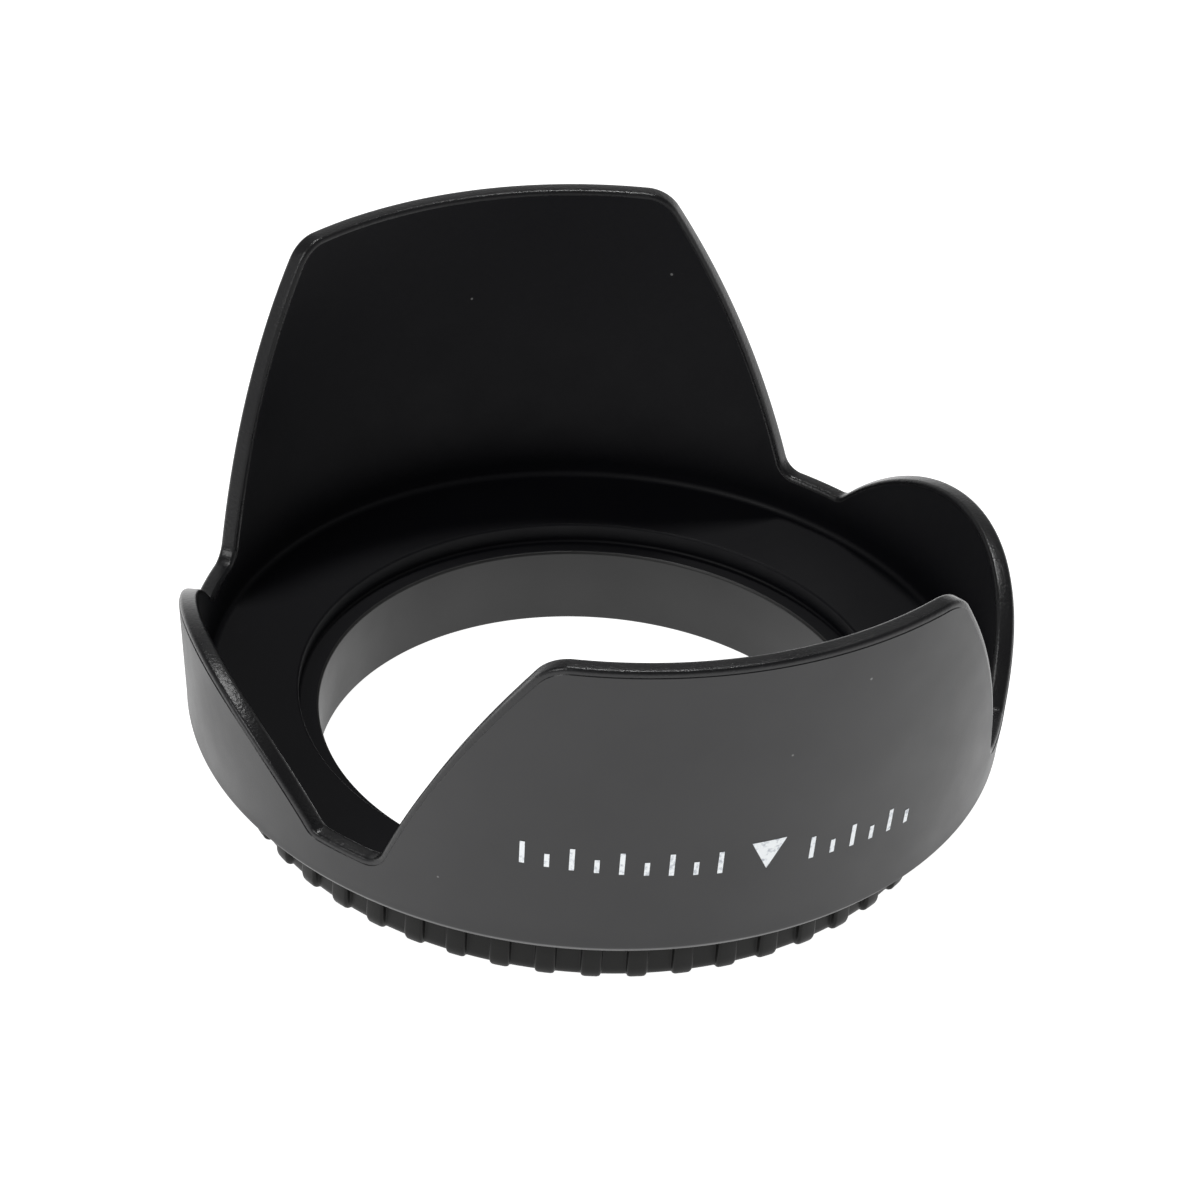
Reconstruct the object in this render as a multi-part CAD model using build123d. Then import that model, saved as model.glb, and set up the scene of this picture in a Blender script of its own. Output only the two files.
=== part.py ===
from build123d import *
import os
from math import asin, cos, radians, sin, sqrt, tan

# Screw-in petal lens hood for a 67 mm filter thread, in millimetres.
# +Z is the optical axis and points out of the lens. The origin is the centre of the
# hood's lower end. The two long petals stand at -Y and +Y, the two short ones at -X and +X.

# Thread shared by the hood's neck and the lock ring
THREAD_R = 33.5            # crest radius of the male filter thread, M67 x 0.75
PITCH = 0.75
THREAD_DEPTH = 0.46
THREAD_START = 0.45        # height at which the lowest ridge of the neck begins
THREAD_GAP = 0.08          # radial play between the two threads
LENS_TURNS = 5             # turns below the lock ring, which screw into the lens
RING_FIRST_TURN = 6        # above a relief one turn wide, the ring sits on these turns
RING_TURNS = 3

# Neck and floor of the hood
BORE_R = 31.5
EDGE_BREAK = 0.3           # small bevel on the bore's lower end and the ring's upper edge
LEDGE_Z = 9.7              # inner ledge at the top of the bore
STEP_R = 33.9              # step between the ledge and the floor
STEP_TOP_Z = 12.15         # floor height at the step
BOSS_R = 36.2              # boss under the floor, around the step
BOSS_Z = 7.6
UNDERSIDE_Z = 10.0
UNDERSIDE_R = 43.6         # the flat underside ends here and slopes up to the wall
SLOPE_R = 46.3
SLOPE_Z = 11.7

# Petal wall: slightly flared, thicker towards the rim
WALL_FOOT_Z = 13.0
WALL_FOOT_R = 46.65        # outside, where the wall leaves the bottom edge
WALL_TOP_R = 49.6          # outside, at the long petals' tips
FLOOR_R = 44.4             # inside, at the floor
FLOOR_Z = 12.4
INNER_TOP_R = 47.3         # inside, at the long petals' tips
TOP_Z = 50.8

# Petal outline, by angle from a long petal's centre and by height
LONG_CORNER_ANGLE = 27.9
LONG_CORNER_RADIUS = 4.5
SIDE_MID_ANGLE = 38.1
SIDE_MID_Z = 38.0
SIDE_FOOT_ANGLE = 50.35
VALLEY_Z = 17.55
VALLEY_RADIUS = 2.5        # where a long petal's side meets the valley
SHORT_PEAK_Z = 28.3
SHORT_RADIUS = 31.4        # radius of a short petal's round top
SHORT_FOOT_RADIUS = 1.5
ARC_PER_DEGREE = radians(46.4)   # the outline is laid out flat at this radius, by the wall's foot
STRETCH_SPANS = 10         # spline spans along each stretch of the outline
RIM_OVERSHOOT = 4.0        # the rim is cut from this far inside to this far outside the wall
BLANK_EXTRA = 2.0          # the wall's blank stands this much higher before the cut

# Lock ring
RING_Z0 = 4.0
RING_Z1 = 9.9
LUG_R = 42.0
GROOVE_R = 41.3
LUG_COUNT = 52
LUG_WIDTH = 2.3
LUG_CORNER = 0.35
LUG_PHASE = 0.9            # angle of the first lug, in degrees
CHAMFER_IN = 0.45          # the ring's lower edge slopes in by this much
CHAMFER_UP = 1.35          # over this height
RELIEF_R = 36.8            # recess that clears the boss
RELIEF_Z = 7.4
LEAD_IN_R = 34.0           # counterbore below the ring's thread
LEAD_IN_Z = 4.7
LUG_ROOT = 1.0             # the lugs start this far outside the recess
TRIM_HEIGHT = 40.0         # height of the cylinder that trims the lugs' inner ends

# Printed marks on the front petal
INK_THICKNESS = 0.04
MARK_ANGLE = 2.0           # the index triangle's place from the petal's centre
MARK_WIDTH = 4.0
MARK_TOP_Z = 26.0
MARK_TIP_Z = 22.1
TICK_WIDTH = 0.55
TICK_LOW_Z = 22.3         # at the petal's centre
PRINT_SLOPE = -0.045      # the row of ticks drops this much for each degree to the right
INK_MARGIN = 2.0          # the band of ink reaches this far above and below the marks
TICK_LONG = 3.0
TICK_SHORT = 1.8
LEFT_TICKS = (-30.0, 9)    # angle of the first tick, number of ticks
RIGHT_TICKS = (8.5, 6)
TICK_STEP = 3.2            # degrees between ticks


def wall_radius(z):
    """Outer radius of the petal wall at height z."""
    share = (z - WALL_FOOT_Z) / (TOP_Z - WALL_FOOT_Z)
    return WALL_FOOT_R + share * (WALL_TOP_R - WALL_FOOT_R)


def inner_radius(z):
    """Inner radius of the petal wall at height z."""
    share = (z - FLOOR_Z) / (TOP_Z - FLOOR_Z)
    return FLOOR_R + share * (INNER_TOP_R - FLOOR_R)


def on_cylinder(radius, angle, z):
    """Point at an angle measured from -Y towards +X."""
    turn = radians(angle)
    return Vector(radius * sin(turn), -radius * cos(turn), z)


def revolved(points):
    """Solid of revolution about Z from a closed outline of (radius, z) points."""
    outline = Polyline(*[(r, 0, z) for r, z in points], close=True)
    return revolve(make_face(outline), axis=Axis.Z)


def thread_points(crest_radius, first_turn, turns):
    """Zigzag of (radius, z) points through closed ridges at the thread's pitch."""
    flank = THREAD_DEPTH * tan(radians(30))
    flat = PITCH / 2 - flank
    root_radius = crest_radius - THREAD_DEPTH
    points = []
    for turn in range(first_turn, first_turn + turns):
        z = THREAD_START + turn * PITCH
        points += [(root_radius, z), (crest_radius, z + flank)]
        points += [(crest_radius, z + flank + flat), (root_radius, z + 2 * flank + flat)]
    return points


def rim_outline():
    """A quarter of the rim, flattened: x is the arc length, y is the height."""
    corner = (LONG_CORNER_ANGLE * ARC_PER_DEGREE, TOP_Z)
    middle = (SIDE_MID_ANGLE * ARC_PER_DEGREE, SIDE_MID_Z)
    foot = (SIDE_FOOT_ANGLE * ARC_PER_DEGREE, VALLEY_Z)
    peak = (90 * ARC_PER_DEGREE, SHORT_PEAK_Z)
    drop = SHORT_PEAK_Z - VALLEY_Z
    half_chord = sqrt(drop * (2 * SHORT_RADIUS - drop))
    rise = (peak[0] - half_chord, VALLEY_Z)
    lean = asin(half_chord / SHORT_RADIUS) / 2
    shoulder = (peak[0] - SHORT_RADIUS * sin(lean), peak[1] - SHORT_RADIUS * (1 - cos(lean)))
    outline = Line((0, TOP_Z), corner) + ThreePointArc(corner, middle, foot)
    outline += Line(foot, rise) + ThreePointArc(rise, shoulder, peak)
    path = Wire(outline.edges())
    rounds = ((corner, LONG_CORNER_RADIUS), (foot, VALLEY_RADIUS), (rise, SHORT_FOOT_RADIUS))
    for point, radius in rounds:
        sharp = path.vertices().sort_by_distance(point)[0]
        path = path.fillet_2d(radius, [sharp])
    return path


def curve_around(radius, stretch, place):
    """Spline on a cylinder that follows one stretch of the flattened outline."""
    samples = [stretch.position_at(step / STRETCH_SPANS) for step in range(STRETCH_SPANS + 1)]
    return Edge.make_spline(
        [on_cylinder(radius, place(point.X / ARC_PER_DEGREE), point.Y) for point in samples]
    )


def above_rim():
    """Solids that fill the space above the rim, whose face runs straight towards the axis."""
    quarters = (
        lambda angle: angle,
        lambda angle: 180 - angle,
        lambda angle: 180 + angle,
        lambda angle: 360 - angle,
    )
    solids = []
    for stretch in rim_outline().edges():
        for place in quarters:
            inner = curve_around(FLOOR_R - RIM_OVERSHOOT, stretch, place)
            outer = curve_around(WALL_TOP_R + RIM_OVERSHOOT, stretch, place)
            sheet = Face.make_surface_from_curves(inner, outer)
            solids.append(Solid.extrude(sheet, Vector(0, 0, TOP_Z)))
    return solids


def petal_hood():
    """Moulded shell: petals, stepped floor and threaded neck in one piece."""
    root_r = THREAD_R - THREAD_DEPTH
    bore = [(BORE_R, EDGE_BREAK), (BORE_R + EDGE_BREAK, 0), (root_r, 0)]
    boss = [(root_r, BOSS_Z), (BOSS_R, BOSS_Z), (BOSS_R, UNDERSIDE_Z)]
    underside = [(UNDERSIDE_R, UNDERSIDE_Z), (SLOPE_R, SLOPE_Z), (WALL_FOOT_R, WALL_FOOT_Z)]
    blank_z = TOP_Z + BLANK_EXTRA
    wall = [(wall_radius(blank_z), blank_z), (inner_radius(blank_z), blank_z)]
    floor = [(FLOOR_R, FLOOR_Z), (STEP_R, STEP_TOP_Z), (STEP_R, LEDGE_Z), (BORE_R, LEDGE_Z)]
    neck = thread_points(THREAD_R, 0, LENS_TURNS)
    neck += thread_points(THREAD_R, RING_FIRST_TURN, RING_TURNS)
    return revolved(bore + neck + boss + underside + wall + floor) - above_rim()


def lug():
    """One grip lug of the lock ring, on the +X side, with its sloping foot."""
    depth = LUG_R - RELIEF_R
    top = RectangleRounded(2 * depth, LUG_WIDTH, LUG_CORNER)
    foot_size = (2 * (depth - CHAMFER_IN), LUG_WIDTH - 2 * CHAMFER_IN)
    foot = RectangleRounded(*foot_size, LUG_CORNER)
    slope_top = RING_Z0 + CHAMFER_UP
    straight = extrude(Pos(RELIEF_R, 0, slope_top) * top, amount=RING_Z1 - slope_top)
    slope = loft([Pos(RELIEF_R, 0, RING_Z0) * foot, Pos(RELIEF_R, 0, slope_top) * top])
    return straight + slope


def lock_ring():
    """Grip ring that runs on the neck's thread and locks against the lens."""
    thread = thread_points(THREAD_R + THREAD_GAP, RING_FIRST_TURN, RING_TURNS)
    inside = [(LEAD_IN_R, RING_Z0), (LEAD_IN_R, LEAD_IN_Z)] + thread
    inside += [(thread[-1][0], RELIEF_Z), (RELIEF_R, RELIEF_Z), (RELIEF_R, RING_Z1)]
    outside = [(GROOVE_R - EDGE_BREAK, RING_Z1), (GROOVE_R, RING_Z1 - EDGE_BREAK)]
    outside += [(GROOVE_R, RING_Z0 + CHAMFER_UP), (GROOVE_R - CHAMFER_IN, RING_Z0)]
    ring = revolved(inside + outside)
    tooth = lug() - Cylinder(RELIEF_R + LUG_ROOT, TRIM_HEIGHT)
    turns = [LUG_PHASE - 90 + step * 360 / LUG_COUNT for step in range(LUG_COUNT)]
    return ring + [Rot(0, 0, turn) * tooth for turn in turns]


def ink_layer():
    """Thin band of ink over the outside of the wall, at the height of the marks."""
    low_z, high_z = TICK_LOW_Z - INK_MARGIN, MARK_TOP_Z + INK_MARGIN
    low, high = wall_radius(low_z), wall_radius(high_z)
    outside = [(low + INK_THICKNESS, low_z), (high + INK_THICKNESS, high_z)]
    return revolved([(low, low_z)] + outside + [(high, high_z)])


def stencil(angle, points):
    """Prism from the axis outwards through (sideways, height) points at an angle."""
    outward = on_cylinder(1, angle, 0)
    sideways = on_cylinder(1, angle + 90, 0)
    plane = Plane((0, 0, 0), x_dir=sideways, z_dir=outward)
    return extrude(plane * make_face(Polyline(*points, close=True)), amount=2 * WALL_TOP_R)


def index_mark():
    """Triangle that shows which petal goes to the top of the picture."""
    half = MARK_WIDTH / 2
    points = [(-half, MARK_TOP_Z), (half, MARK_TOP_Z), (0, MARK_TIP_Z)]
    return ink_layer() & stencil(MARK_ANGLE, points)


def print_ticks():
    """Plain tick marks on both sides of the triangle, long and short in turn."""
    stencils = []
    for first_angle, count in (LEFT_TICKS, RIGHT_TICKS):
        for step in range(count):
            angle = first_angle + step * TICK_STEP
            low_z = TICK_LOW_Z + PRINT_SLOPE * angle
            top_z = low_z + (TICK_SHORT if step % 2 else TICK_LONG)
            half = TICK_WIDTH / 2
            points = [(-half, low_z), (half, low_z), (half, top_z), (-half, top_z)]
            stencils.append(stencil(angle, points))
    layer = ink_layer()
    return Compound([solid for cutter in stencils for solid in (layer & cutter).solids()])


def main():
    """Write each piece of the hood to its own STEP file."""
    os.makedirs("parts", exist_ok=True)
    for piece in (petal_hood, lock_ring, index_mark, print_ticks):
        export_step(piece(), f"parts/{piece.__name__}.step")


main()
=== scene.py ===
from math import acos, atan2, cos, degrees, hypot, pi, radians, sin, sqrt, tan

import bpy
from mathutils import Matrix, Vector


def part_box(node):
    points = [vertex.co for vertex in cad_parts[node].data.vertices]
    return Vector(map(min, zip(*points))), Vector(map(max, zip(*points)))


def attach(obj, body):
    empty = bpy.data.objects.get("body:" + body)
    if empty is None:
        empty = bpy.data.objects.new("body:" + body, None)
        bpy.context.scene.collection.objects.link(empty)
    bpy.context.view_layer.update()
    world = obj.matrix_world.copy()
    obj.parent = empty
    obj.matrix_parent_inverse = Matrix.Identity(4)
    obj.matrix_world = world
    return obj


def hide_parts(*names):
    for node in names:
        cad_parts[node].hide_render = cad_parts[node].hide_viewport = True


# Petal lens hood with a screw thread and a toothed lock ring.
# Lengths are in millimetres until MM turns them into metres. Angles are measured from -Y
# towards +X, so that 0 is the middle of the front petal.

MM = 0.001

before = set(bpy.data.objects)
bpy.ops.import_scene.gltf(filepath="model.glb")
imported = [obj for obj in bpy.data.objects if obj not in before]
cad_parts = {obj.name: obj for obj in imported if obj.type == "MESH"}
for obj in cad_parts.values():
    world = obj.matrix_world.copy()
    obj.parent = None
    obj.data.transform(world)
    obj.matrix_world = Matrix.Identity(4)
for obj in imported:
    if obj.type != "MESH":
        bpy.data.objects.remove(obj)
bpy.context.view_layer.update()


def node_extent(node):
    """Lowest and highest corner of a CAD node, in millimetres."""
    low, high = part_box(node)
    return low / MM, high / MM


HOOD_HIGH = node_extent("petal_hood")[1]
RING_LOW, RING_HIGH = node_extent("lock_ring")

# Thread
PITCH = 0.75
THREAD_DEPTH = 0.46
THREAD_START = 0.45
THREAD_R = 33.5
THREAD_GAP = 0.08
LENS_TURNS = 5
RING_FIRST_TURN = 6
RING_TURNS = 3

# Floor and neck
BORE_R = 31.5
LEDGE_Z = 9.7
STEP_R = 33.9
STEP_TOP_Z = 12.15
BOSS_R = 36.2
BOSS_Z = 7.6
UNDERSIDE_Z = 10.0
UNDERSIDE_R = 43.6
NECK_ROUND = 0.3
FLOOR_ROUND = 0.8
LEDGE_ROUND = 0.35
UNDERSIDE_ROUND = 1.5

# Petal wall
TOP_Z = HOOD_HIGH.z
WALL_FOOT_Z = 13.0
WALL_FOOT_R = 46.65
WALL_TOP_R = HOOD_HIGH.y
FLOOR_R = 44.4
FLOOR_Z = 12.4
INNER_TOP_R = 47.3
OUTER_FOOT_Z = 16.0        # the wall is straight from here up
INNER_FOOT_Z = 14.0
WALL_ROWS = 14
BEVEL_LOW = (46.10, 11.575, 0.2)      # bevel around the lower edge, as (radius, height, rounding)
BEVEL_HIGH = (46.62, 12.25, 0.5)
BEVEL_MARGIN = 0.4         # the wall's first row lies this far above the bevel

# Rim outline, flattened
ARC_PER_DEGREE = radians(46.4)
LONG_CORNER = (27.9 * ARC_PER_DEGREE, TOP_Z)
SIDE_MIDDLE = (38.1 * ARC_PER_DEGREE, 38.0)
SIDE_FOOT = (50.35 * ARC_PER_DEGREE, 17.55)
LONG_CORNER_RADIUS = 4.5
VALLEY_RADIUS = 2.5
SHORT_FOOT_RADIUS = 1.5
SHORT_PEAK = (90 * ARC_PER_DEGREE, 28.3)
SHORT_RADIUS = 31.4
OUTLINE_STEP = 0.35

# Lock ring
RING_Z0 = RING_LOW.z
RING_Z1 = RING_HIGH.z
LUG_R = 42.0
GROOVE_R = 41.3
LUG_COUNT = 52
LUG_WIDTH = 2.3
LUG_CORNER = 0.35
LUG_PHASE = 0.9
RELIEF_R = 36.8
RELIEF_Z = 7.4
LEAD_IN_R = 34.0
LEAD_IN_Z = 4.7
GROOVE_CORNER = 0.15
GROOVE_FOOT = (0.55, 1.15)     # how far in and up the lower edge is rounded between the lugs
LUG_FOOT = (0.75, 1.65)        # and on them
LUG_NARROWING = 0.3


# ---------------------------------------------------------------- outlines

def lerp(a, b, share):
    return a + (b - a) * share


def wall_radius(z):
    return lerp(WALL_FOOT_R, WALL_TOP_R, (z - WALL_FOOT_Z) / (TOP_Z - WALL_FOOT_Z))


def inner_radius(z):
    return lerp(FLOOR_R, INNER_TOP_R, (z - FLOOR_Z) / (TOP_Z - FLOOR_Z))


def circle_through(a, b, c):
    """Centre and radius of the circle through three points."""
    (ax, ay), (bx, by), (cx, cy) = a, b, c
    d = 2 * (ax * (by - cy) + bx * (cy - ay) + cx * (ay - by))
    sa, sb, sc = ax * ax + ay * ay, bx * bx + by * by, cx * cx + cy * cy
    x = (sa * (by - cy) + sb * (cy - ay) + sc * (ay - by)) / d
    y = (sa * (cx - bx) + sb * (ax - cx) + sc * (bx - ax)) / d
    return (x, y), hypot(ax - x, ay - y)


def fillet(line_z, circle, reach, radius, rise, side):
    """Arc tangent to a level line and a circle: its centre and its ends on the line and on the circle."""
    (cx, cy), big = circle
    centre_z = line_z + rise * radius
    centre = (cx + side * sqrt((big + reach * radius) ** 2 - (centre_z - cy) ** 2), centre_z)
    share = big / (big + reach * radius)
    on_circle = (lerp(cx, centre[0], share), lerp(cy, centre[1], share))
    return centre, (centre[0], line_z), on_circle


def arc_points(centre, start, end, step):
    """Points from start to end around centre, the short way, without the last one."""
    a0 = atan2(start[1] - centre[1], start[0] - centre[0])
    turn = atan2(end[1] - centre[1], end[0] - centre[0]) - a0
    turn = (turn + pi) % (2 * pi) - pi
    radius = hypot(start[0] - centre[0], start[1] - centre[1])
    count = max(2, round(abs(turn) * radius / step))
    return [
        (centre[0] + radius * cos(a0 + turn * i / count), centre[1] + radius * sin(a0 + turn * i / count))
        for i in range(count)
    ]


def line_points(start, end, step):
    count = max(2, round(hypot(end[0] - start[0], end[1] - start[1]) / step))
    return [(lerp(start[0], end[0], i / count), lerp(start[1], end[1], i / count)) for i in range(count)]


def quarter_outline():
    """The rim from a long petal's centre to a short petal's centre, as (arc length, height)."""
    side = circle_through(LONG_CORNER, SIDE_MIDDLE, SIDE_FOOT)
    short = ((SHORT_PEAK[0], SHORT_PEAK[1] - SHORT_RADIUS), SHORT_RADIUS)
    top, top_line, top_side = fillet(TOP_Z, side, -1, LONG_CORNER_RADIUS, -1, 1)
    dip, dip_line, dip_side = fillet(SIDE_FOOT[1], side, 1, VALLEY_RADIUS, 1, 1)
    foot, foot_line, foot_short = fillet(SIDE_FOOT[1], short, 1, SHORT_FOOT_RADIUS, 1, -1)
    fine = OUTLINE_STEP / 2
    points = line_points((0, TOP_Z), top_line, OUTLINE_STEP)
    points += arc_points(top, top_line, top_side, fine)
    points += arc_points(side[0], top_side, dip_side, OUTLINE_STEP)
    points += arc_points(dip, dip_side, dip_line, fine)
    points += line_points(dip_line, foot_line, OUTLINE_STEP)
    points += arc_points(foot, foot_line, foot_short, fine)
    points += arc_points(short[0], foot_short, SHORT_PEAK, OUTLINE_STEP)
    return points + [SHORT_PEAK]


def whole_outline():
    """The rim once around, as (angle in degrees, height)."""
    quarter = [(s / ARC_PER_DEGREE, z) for s, z in quarter_outline()]
    half = quarter + [(180 - angle, z) for angle, z in reversed(quarter[:-1])]
    return half[:-1] + [(180 + angle, z) for angle, z in half[:-1]]


def outline_normals(outline):
    """Unit vectors in the flattened plane that point down into the wall."""
    normals = []
    count = len(outline)
    for i in range(count):
        before, after = outline[i - 1], outline[(i + 1) % count]
        along = ((after[0] - before[0] + 180) % 360 - 180) * ARC_PER_DEGREE
        up = after[1] - before[1]
        size = hypot(along, up)
        normals.append((up / size, -along / size))
    return normals


def rounded(corners, step=12):
    """Open polyline of (r, z) from (r, z, radius) corners.

    Each corner is rounded by an arc with about step degrees a span.
    """
    points = []
    for i, (r, z, radius) in enumerate(corners):
        if radius == 0 or i in (0, len(corners) - 1):
            points.append((r, z))
            continue
        before, after = Vector(corners[i - 1][:2]), Vector(corners[i + 1][:2])
        here = Vector((r, z))
        a, b = (before - here).normalized(), (after - here).normalized()
        opening = acos(max(-1, min(1, a.dot(b))))
        reach = radius / tan(opening / 2)
        centre = here + (a + b).normalized() * radius / sin(opening / 2)
        start, end = here + a * reach, here + b * reach
        count = max(2, round(degrees(pi - opening) / step))
        a0 = atan2(start.y - centre.y, start.x - centre.x)
        turn = (atan2(end.y - centre.y, end.x - centre.x) - a0 + pi) % (2 * pi) - pi
        for j in range(count + 1):
            angle = a0 + turn * j / count
            points.append((centre.x + radius * cos(angle), centre.y + radius * sin(angle)))
    return points


def thread_points(crest_radius, first_turn, turns):
    """Zigzag of (r, z, 0) corners through closed ridges, one to each turn of the thread."""
    flank = THREAD_DEPTH * tan(radians(30))
    flat = PITCH / 2 - flank
    root = crest_radius - THREAD_DEPTH
    points = []
    for turn in range(first_turn, first_turn + turns):
        z = THREAD_START + turn * PITCH
        points += [(root, z, 0), (crest_radius, z + flank, 0)]
        points += [(crest_radius, z + flank + flat, 0), (root, z + 2 * flank + flat, 0)]
    return points


# ---------------------------------------------------------------- mesh building

SHARP_ANGLE = 40


def on_cylinder(radius, angle, z):
    turn = radians(angle)
    return (radius * sin(turn) * MM, -radius * cos(turn) * MM, z * MM)


def torus_mesh(name, loops, zones, materials):
    """Closed tube of quads.

    loops are lists of (radius, angle, z), and zones has the material of the band above each loop.
    """
    columns = len(loops[0])
    vertices = [on_cylinder(*point) for loop in loops for point in loop]
    faces, indices = [], []
    for row in range(len(loops)):
        above = (row + 1) % len(loops)
        for i in range(columns):
            j = (i + 1) % columns
            faces.append((row * columns + i, row * columns + j, above * columns + j, above * columns + i))
            indices.append(zones[row])
    mesh = bpy.data.meshes.new(name)
    mesh.from_pydata(vertices, [], faces)
    for material in materials:
        mesh.materials.append(material)
    mesh.polygons.foreach_set("material_index", indices)
    mesh.polygons.foreach_set("use_smooth", [True] * len(faces))
    mesh.update()
    mesh.set_sharp_from_angle(angle=radians(SHARP_ANGLE))
    piece = bpy.data.objects.new(name, mesh)
    bpy.context.scene.collection.objects.link(piece)
    return piece


OUTSIDE, RIM, INSIDE, UNDER = 0, 1, 2, 3

# The rim's section, across the wall
EDGE_LINE_STEP = 0.10      # the outer face steps in this much just below the rim
EDGE_LINE_DROP = 0.60
OUTER_ROUND = 0.50
INNER_ROUND = 0.55
RIM_BAND = 1.6             # below this drop the wall is plain


def rim_section():
    """Points over the rim, as (face to measure from, distance into the wall, drop below the rim)."""
    points = [("outer", 0.0, EDGE_LINE_DROP + 0.12), ("outer", EDGE_LINE_STEP, EDGE_LINE_DROP + 0.05)]
    for i in range(5):
        a = radians(90 * i / 4)
        points.append(("outer", EDGE_LINE_STEP + OUTER_ROUND * (1 - cos(a)), OUTER_ROUND * (1 - sin(a))))
    for i in range(9):
        a = radians(90 * i / 8)
        points.append(("inner", INNER_ROUND * (1 - sin(a)), INNER_ROUND * (1 - cos(a))))
    return points


def hood_loops():
    """Loops of the hood's surface: up the outside, over the rim, down the inside, along the neck."""
    outline = whole_outline()
    normals = outline_normals(outline)
    base = [angle + nx * RIM_BAND / ARC_PER_DEGREE for (angle, z), (nx, nz) in zip(outline, normals)]
    loops, zones = [], []

    def add_round(r, z, zone):
        loops.append([(r, angle, z) for angle in base])
        zones.append(zone)

    def drop(i, depth):
        (angle, z), (nx, nz) = outline[i], normals[i]
        return angle + nx * depth / ARC_PER_DEGREE, z + nz * depth

    # up the outside
    foot = rounded([(UNDERSIDE_R, UNDERSIDE_Z, 0), BEVEL_LOW, BEVEL_HIGH,
                    (wall_radius(OUTER_FOOT_Z), OUTER_FOOT_Z, 0)])
    for r, z in foot[1:-1]:
        add_round(r, z, OUTSIDE)
    for row in range(WALL_ROWS + 1):
        loop = []
        for i in range(len(outline)):
            angle, top = drop(i, RIM_BAND)
            z = lerp(foot[-2][1] + BEVEL_MARGIN, top, row / WALL_ROWS)
            loop.append((wall_radius(z), angle, z))
        loops.append(loop)
        zones.append(OUTSIDE)

    # over the rim
    for face, inset, depth in rim_section():
        loop = []
        for i in range(len(outline)):
            angle, z = drop(i, depth)
            r = wall_radius(z) - inset if face == "outer" else inner_radius(z) + inset
            loop.append((r, angle, z))
        loops.append(loop)
        zones.append(RIM)
    zones[-1] = INSIDE

    # down the inside and through the bore
    inside_foot = rounded([(inner_radius(INNER_FOOT_Z), INNER_FOOT_Z, 0), (FLOOR_R, FLOOR_Z, FLOOR_ROUND),
                           (STEP_R, STEP_TOP_Z, NECK_ROUND), (STEP_R, LEDGE_Z, LEDGE_ROUND),
                           (BORE_R, LEDGE_Z, LEDGE_ROUND), (BORE_R, 0, NECK_ROUND),
                           (THREAD_R - THREAD_DEPTH, 0, 0.1), (THREAD_R - THREAD_DEPTH, THREAD_START, 0)])
    for row in range(WALL_ROWS + 1):
        loop = []
        for i in range(len(outline)):
            angle, top = drop(i, RIM_BAND)
            z = lerp(top, INNER_FOOT_Z, row / WALL_ROWS)
            loop.append((inner_radius(z), angle, z))
        loops.append(loop)
        zones.append(INSIDE)
    for r, z in inside_foot[1:-1]:
        add_round(r, z, UNDER if r < BORE_R + NECK_ROUND else INSIDE)

    # up the neck's outside and along the underside
    neck = thread_points(THREAD_R, 0, LENS_TURNS) + thread_points(THREAD_R, RING_FIRST_TURN, RING_TURNS)
    under = neck + [(THREAD_R - THREAD_DEPTH, BOSS_Z, 0), (BOSS_R, BOSS_Z, NECK_ROUND),
                    (BOSS_R, UNDERSIDE_Z, NECK_ROUND), (UNDERSIDE_R, UNDERSIDE_Z, UNDERSIDE_ROUND),
                    BEVEL_LOW]
    for r, z in rounded(under)[:-1]:
        add_round(r, z, UNDER)
    return loops, zones


def lug_outline(inset):
    """Radius and angle around the lock ring's outside, pulled in by inset from every face."""
    pitch = 360 / LUG_COUNT
    half = LUG_WIDTH / 2 - inset
    crest, groove = LUG_R - inset, GROOVE_R - inset
    corner = min(LUG_CORNER, half * 0.8)
    root = GROOVE_CORNER
    points = []
    for lug in range(LUG_COUNT):
        centre = lug * pitch + LUG_PHASE
        flat = []
        # half of the groove, the lug's foot, its flank and its rounded corner
        for share in (0, 0.3, 0.6, 0.9):
            flat.append((groove, lerp(-pitch / 2, -degrees((half + root) / groove), share)))
        flat.append((groove, -degrees((half + root) / groove)))
        flat.append((groove + root * 0.3, -degrees((half + root * 0.3) / groove)))
        flat.append((groove + root, -degrees(half / groove)))
        for i in range(5):
            a = radians(90 * i / 4)
            r = crest - corner * (1 - sin(a))
            flat.append((r, -degrees((half - corner * (1 - cos(a))) / r)))
        side = flat + [(crest, 0)]
        side += [(r, -angle) for r, angle in reversed(flat)]
        points += [(r, centre + angle) for r, angle in side[:-1]]
    return points


def ring_foot(r, share):
    """Inset and height of the ring's rounded lower edge, share of the way up, at outer radius r."""
    lugness = max(0.0, min(1.0, (r - GROOVE_R) / (LUG_R - GROOVE_R)))
    reach, rise = (lerp(groove, lug, lugness) for groove, lug in zip(GROOVE_FOOT, LUG_FOOT))
    return reach * (1 - sin(share * pi / 2)), rise * (1 - cos(share * pi / 2))


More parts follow.
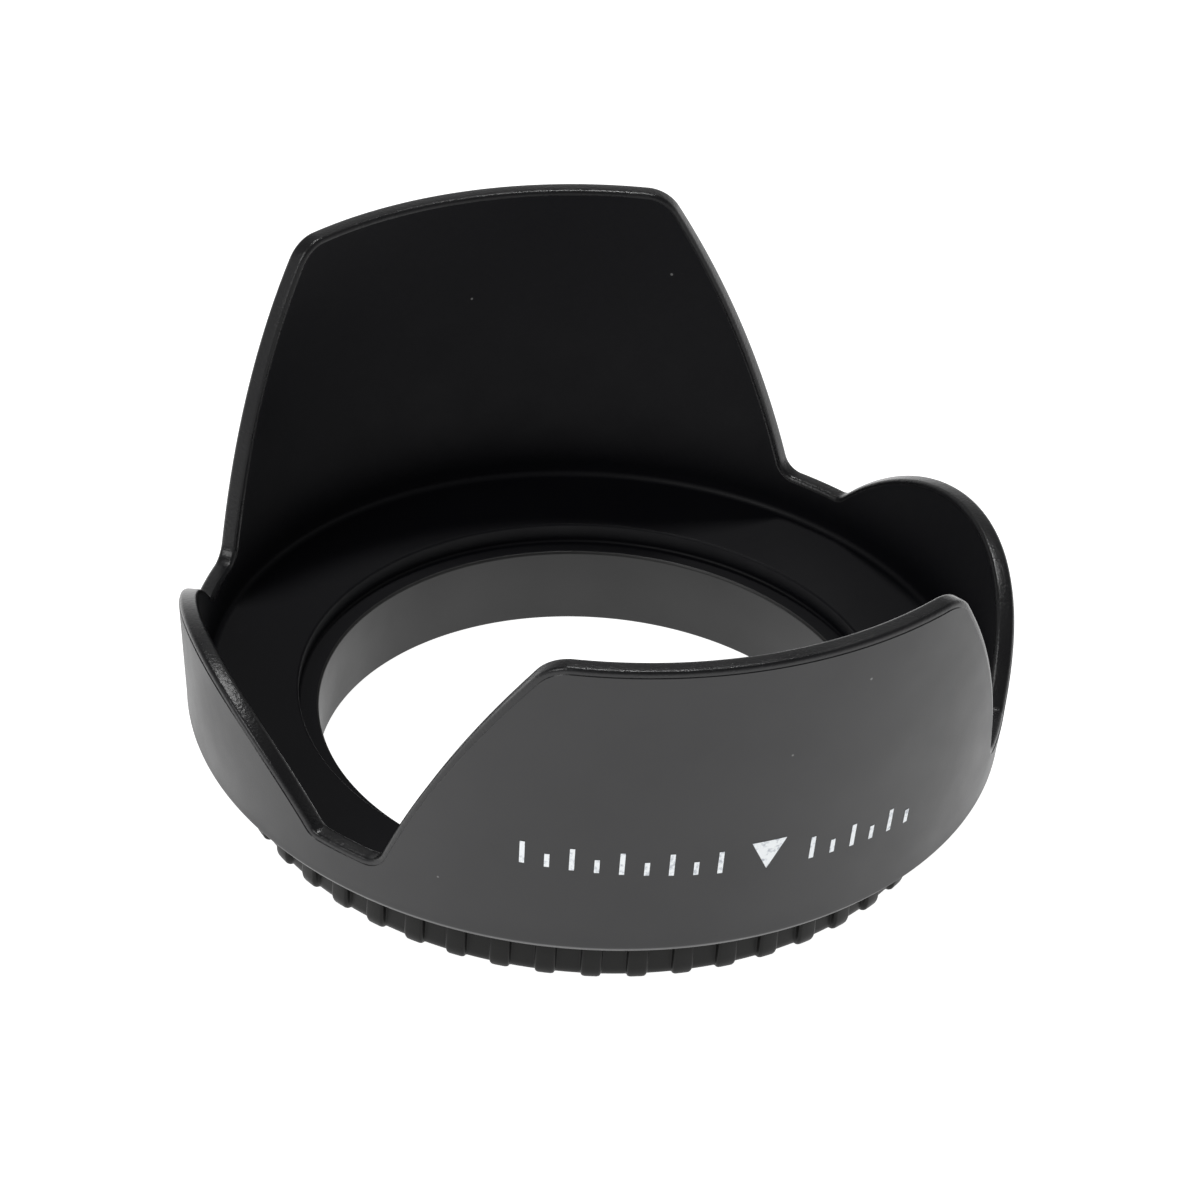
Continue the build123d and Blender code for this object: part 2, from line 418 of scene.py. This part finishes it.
def ring_loops():
    """Loops of the lock ring's surface: up the toothed outside, over the top, down the threaded inside."""
    loops = []
    rest = lug_outline(0)
    for step in range(7):
        loop = []
        for (r, angle), (_, slim_angle) in zip(rest, lug_outline(LUG_NARROWING)):
            inset, height = ring_foot(r, step / 6)
            loop.append((r - inset, lerp(angle, slim_angle, inset / LUG_FOOT[0]), RING_Z0 + height))
        loops.append(loop)
    top_edge = ((0.0, RING_Z1 - 0.35), (0.1, RING_Z1 - 0.12), (0.35, RING_Z1))
    for inset, z in ((0.0, (RING_Z0 + RING_Z1) / 2), *top_edge):
        loops.append([(r, angle, z) for r, angle in lug_outline(inset)])
    angles = [angle for r, angle in rest]
    root = THREAD_R + THREAD_GAP - THREAD_DEPTH
    thread = thread_points(THREAD_R + THREAD_GAP, RING_FIRST_TURN, RING_TURNS)
    relief = [(GROOVE_R - 1.0, RING_Z1, 0), (RELIEF_R, RING_Z1, 0.2), (RELIEF_R, RELIEF_Z, 0.2),
              (root, RELIEF_Z, 0)]
    lead_in = [(LEAD_IN_R, LEAD_IN_Z, 0), (LEAD_IN_R, RING_Z0, 0.15), (GROOVE_R - 1.4, RING_Z0, 0)]
    for r, z in rounded(relief + thread[::-1] + lead_in):
        loops.append([(r, angle, z) for angle in angles])
    return loops, [0] * len(loops)


# ---------------------------------------------------------------- materials

DUST_CELLS = 260.0         # cells to a metre, each with one place for a speck
DUST_COLOUR = (0.16, 0.16, 0.16)


def new_material(name):
    material = bpy.data.materials.new(name)
    material.use_nodes = True
    nodes = material.node_tree.nodes
    return material, nodes, material.node_tree.links, nodes["Principled BSDF"]


def noise(nodes, links, vector, scale, detail=2.0, roughness=0.5):
    node = nodes.new("ShaderNodeTexNoise")
    node.inputs["Scale"].default_value = scale
    node.inputs["Detail"].default_value = detail
    node.inputs["Roughness"].default_value = roughness
    links.new(vector, node.inputs["Vector"])
    return node.outputs["Fac"]


def spread(nodes, links, value, low, high, to_low, to_high):
    node = nodes.new("ShaderNodeMapRange")
    node.inputs["From Min"].default_value = low
    node.inputs["From Max"].default_value = high
    node.inputs["To Min"].default_value = to_low
    node.inputs["To Max"].default_value = to_high
    links.new(value, node.inputs["Value"])
    return node.outputs["Result"]


def plastic(name, colour, rough, shine, grain_scale, grain_depth, specks):
    """Moulded black plastic: fine grain, uneven gloss, and a few pale specks of dust.

    grain_depth is in millimetres, and specks is the share of the dust cells that may hold a speck.
    """
    material, nodes, links, shader = new_material(name)
    shader.inputs["Specular IOR Level"].default_value = shine
    place = nodes.new("ShaderNodeTexCoord").outputs["Object"]
    grain = noise(nodes, links, place, grain_scale, 3.0, 0.6)
    cloud = noise(nodes, links, place, 90.0, 4.0, 0.6)
    dust = nodes.new("ShaderNodeTexVoronoi")
    dust.inputs["Scale"].default_value = DUST_CELLS
    dust.inputs["Randomness"].default_value = 1.0
    links.new(place, dust.inputs["Vector"])
    spot = spread(nodes, links, dust.outputs["Distance"], 0.03, 0.05, 1.0, 0.0)
    rare = nodes.new("ShaderNodeSeparateColor")
    links.new(dust.outputs["Color"], rare.inputs["Color"])
    chosen = spread(nodes, links, rare.outputs["Red"], 1.0 - specks, 1.0 - specks + 0.01, 0.0, 1.0)
    mask = nodes.new("ShaderNodeMath")
    mask.operation = "MULTIPLY"
    links.new(spot, mask.inputs[0])
    links.new(chosen, mask.inputs[1])
    mix = nodes.new("ShaderNodeMix")
    mix.data_type = "RGBA"
    mix.inputs["A"].default_value = (*colour, 1)
    mix.inputs["B"].default_value = (*DUST_COLOUR, 1)
    links.new(mask.outputs["Value"], mix.inputs["Factor"])
    links.new(mix.outputs["Result"], shader.inputs["Base Color"])
    links.new(spread(nodes, links, cloud, 0.3, 0.7, rough - 0.04, rough + 0.05), shader.inputs["Roughness"])
    bump = nodes.new("ShaderNodeBump")
    bump.inputs["Strength"].default_value = 1.0
    bump.inputs["Distance"].default_value = grain_depth * MM
    links.new(grain, bump.inputs["Height"])
    links.new(bump.outputs["Normal"], shader.inputs["Normal"])
    return material


def ink():
    """White pad-printed ink, slightly thin in places."""
    material, nodes, links, shader = new_material("white_ink")
    place = nodes.new("ShaderNodeTexCoord").outputs["Object"]
    patch = noise(nodes, links, place, 1500.0, 3.0, 0.6)
    ramp = nodes.new("ShaderNodeMix")
    ramp.data_type = "RGBA"
    ramp.inputs["A"].default_value = (0.42, 0.45, 0.5, 1)
    ramp.inputs["B"].default_value = (0.85, 0.88, 0.9, 1)
    links.new(spread(nodes, links, patch, 0.32, 0.5, 0.0, 1.0), ramp.inputs["Factor"])
    links.new(ramp.outputs["Result"], shader.inputs["Base Color"])
    shader.inputs["Roughness"].default_value = 0.5
    return material


# ---------------------------------------------------------------- object

def build_hood():
    materials = [
        plastic("hood_outside", (0.014, 0.014, 0.015), rough=0.42, shine=0.48,
                grain_scale=5200.0, grain_depth=0.010, specks=0.30),
        # The rim's base colour is darker than the outside's: painted shade for the rim's top, which faces
        # the darker sky. Its deeper grain and lower roughness are its own finish.
        plastic("hood_rim_painted_shade", (0.009, 0.009, 0.010), rough=0.27, shine=0.45,
                grain_scale=2600.0, grain_depth=0.045, specks=0.30),
        # The inside's base colour is far darker than the outside's: painted shade for the inside of the
        # hood. Its lower shine and higher roughness give it a matte finish.
        plastic("hood_inside_painted_shade", (0.0025, 0.0025, 0.004), rough=0.50, shine=0.19,
                grain_scale=5200.0, grain_depth=0.012, specks=0.12),
        plastic("hood_under", (0.012, 0.012, 0.012), rough=0.45, shine=0.5,
                grain_scale=5200.0, grain_depth=0.012, specks=0.0),
    ]
    loops, zones = hood_loops()
    piece = torus_mesh("hood_shell", loops, zones, materials)
    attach(piece, "hood")
    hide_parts("petal_hood")


def build_ring():
    loops, zones = ring_loops()
    # The ring's base colour is darker than the hood's outside: painted shade for the hood's overhang above
    # it.
    material = plastic("ring_plastic", (0.006, 0.006, 0.0055), rough=0.40, shine=0.19,
                       grain_scale=4200.0, grain_depth=0.012, specks=0.0)
    piece = torus_mesh("toothed_ring", loops, zones, [material])
    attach(piece, "lock_ring")
    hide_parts("lock_ring")


def print_marks():
    material = ink()
    for node in ("index_mark", "print_ticks"):
        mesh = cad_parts[node].data
        mesh.materials.clear()
        mesh.materials.append(material)


# ---------------------------------------------------------------- studio

CAMERA_AIM_Z = 24.9
CAMERA_DISTANCE = 514.0
CAMERA_ELEVATION = 35.08
CAMERA_ANGLE = -22.36      # from -Y towards +X
CAMERA_ROLL = 4.0
LENS_MM = 135.9
SENSOR_MM = 36.0
FLOOR_HALF = 3.0           # metres


def towards(angle, elevation):
    """Unit vector out from the hood's axis at angle and elevation, both in degrees."""
    turn, rise = radians(angle), radians(elevation)
    return Vector((cos(rise) * sin(turn), -cos(rise) * cos(turn), sin(rise)))


def add_camera():
    data = bpy.data.cameras.new("camera")
    data.lens = LENS_MM
    data.sensor_width = SENSOR_MM
    data.clip_end = 20.0
    camera = bpy.data.objects.new("camera", data)
    bpy.context.scene.collection.objects.link(camera)
    roll = radians(CAMERA_ROLL)
    back = towards(CAMERA_ANGLE, CAMERA_ELEVATION)
    level = Vector((0, 0, 1)).cross(back).normalized()
    upright = back.cross(level)
    right = level * cos(roll) + upright * sin(roll)
    up = back.cross(right)
    place = Vector((0, 0, CAMERA_AIM_Z * MM)) + back * CAMERA_DISTANCE * MM
    matrix = Matrix((right, up, back)).transposed().to_4x4()
    matrix.translation = place
    camera.matrix_world = matrix
    bpy.context.scene.camera = camera


def add_floor():
    material, nodes, links, shader = new_material("floor")
    shader.inputs["Base Color"].default_value = (0.6, 0.6, 0.6, 1)
    shader.inputs["Roughness"].default_value = 0.7
    shader.inputs["Emission Color"].default_value = (1, 1, 1, 1)
    shader.inputs["Emission Strength"].default_value = 1.0
    mesh = bpy.data.meshes.new("floor")
    size = FLOOR_HALF
    corners = [(-size, -size, 0), (size, -size, 0), (size, size, 0), (-size, size, 0)]
    mesh.from_pydata(corners, [], [(0, 1, 2, 3)])
    mesh.materials.append(material)
    floor = bpy.data.objects.new("floor", mesh)
    bpy.context.scene.collection.objects.link(floor)


def add_light(name, angle, elevation, distance, size, power):
    """Square soft box that faces the hood. Angles are in degrees, lengths in metres."""
    data = bpy.data.lights.new(name, "AREA")
    data.size = size
    data.energy = power
    light = bpy.data.objects.new(name, data)
    bpy.context.scene.collection.objects.link(light)
    back = towards(angle, elevation)
    light.location = back * distance
    light.rotation_euler = back.to_track_quat("Z", "Y").to_euler()


def add_world():
    """Bright around the horizon, darker overhead."""
    world = bpy.data.worlds.new("world")
    bpy.context.scene.world = world
    world.use_nodes = True
    nodes, links = world.node_tree.nodes, world.node_tree.links
    place = nodes.new("ShaderNodeTexCoord").outputs["Generated"]
    split = nodes.new("ShaderNodeSeparateXYZ")
    links.new(place, split.inputs["Vector"])
    sky = nodes["Background"].inputs
    sky["Color"].default_value = (1, 1, 1, 1)
    links.new(spread(nodes, links, split.outputs["Z"], 0.0, 0.7, 0.9, 0.12), sky["Strength"])


build_hood()
build_ring()
print_marks()
add_camera()
add_floor()
add_world()
add_light("top_box", angle=160, elevation=68, distance=1.0, size=0.1, power=2.2)
add_light("key", angle=-75, elevation=50, distance=1.2, size=0.5, power=3.5)
bpy.context.scene.view_settings.view_transform = "Standard"
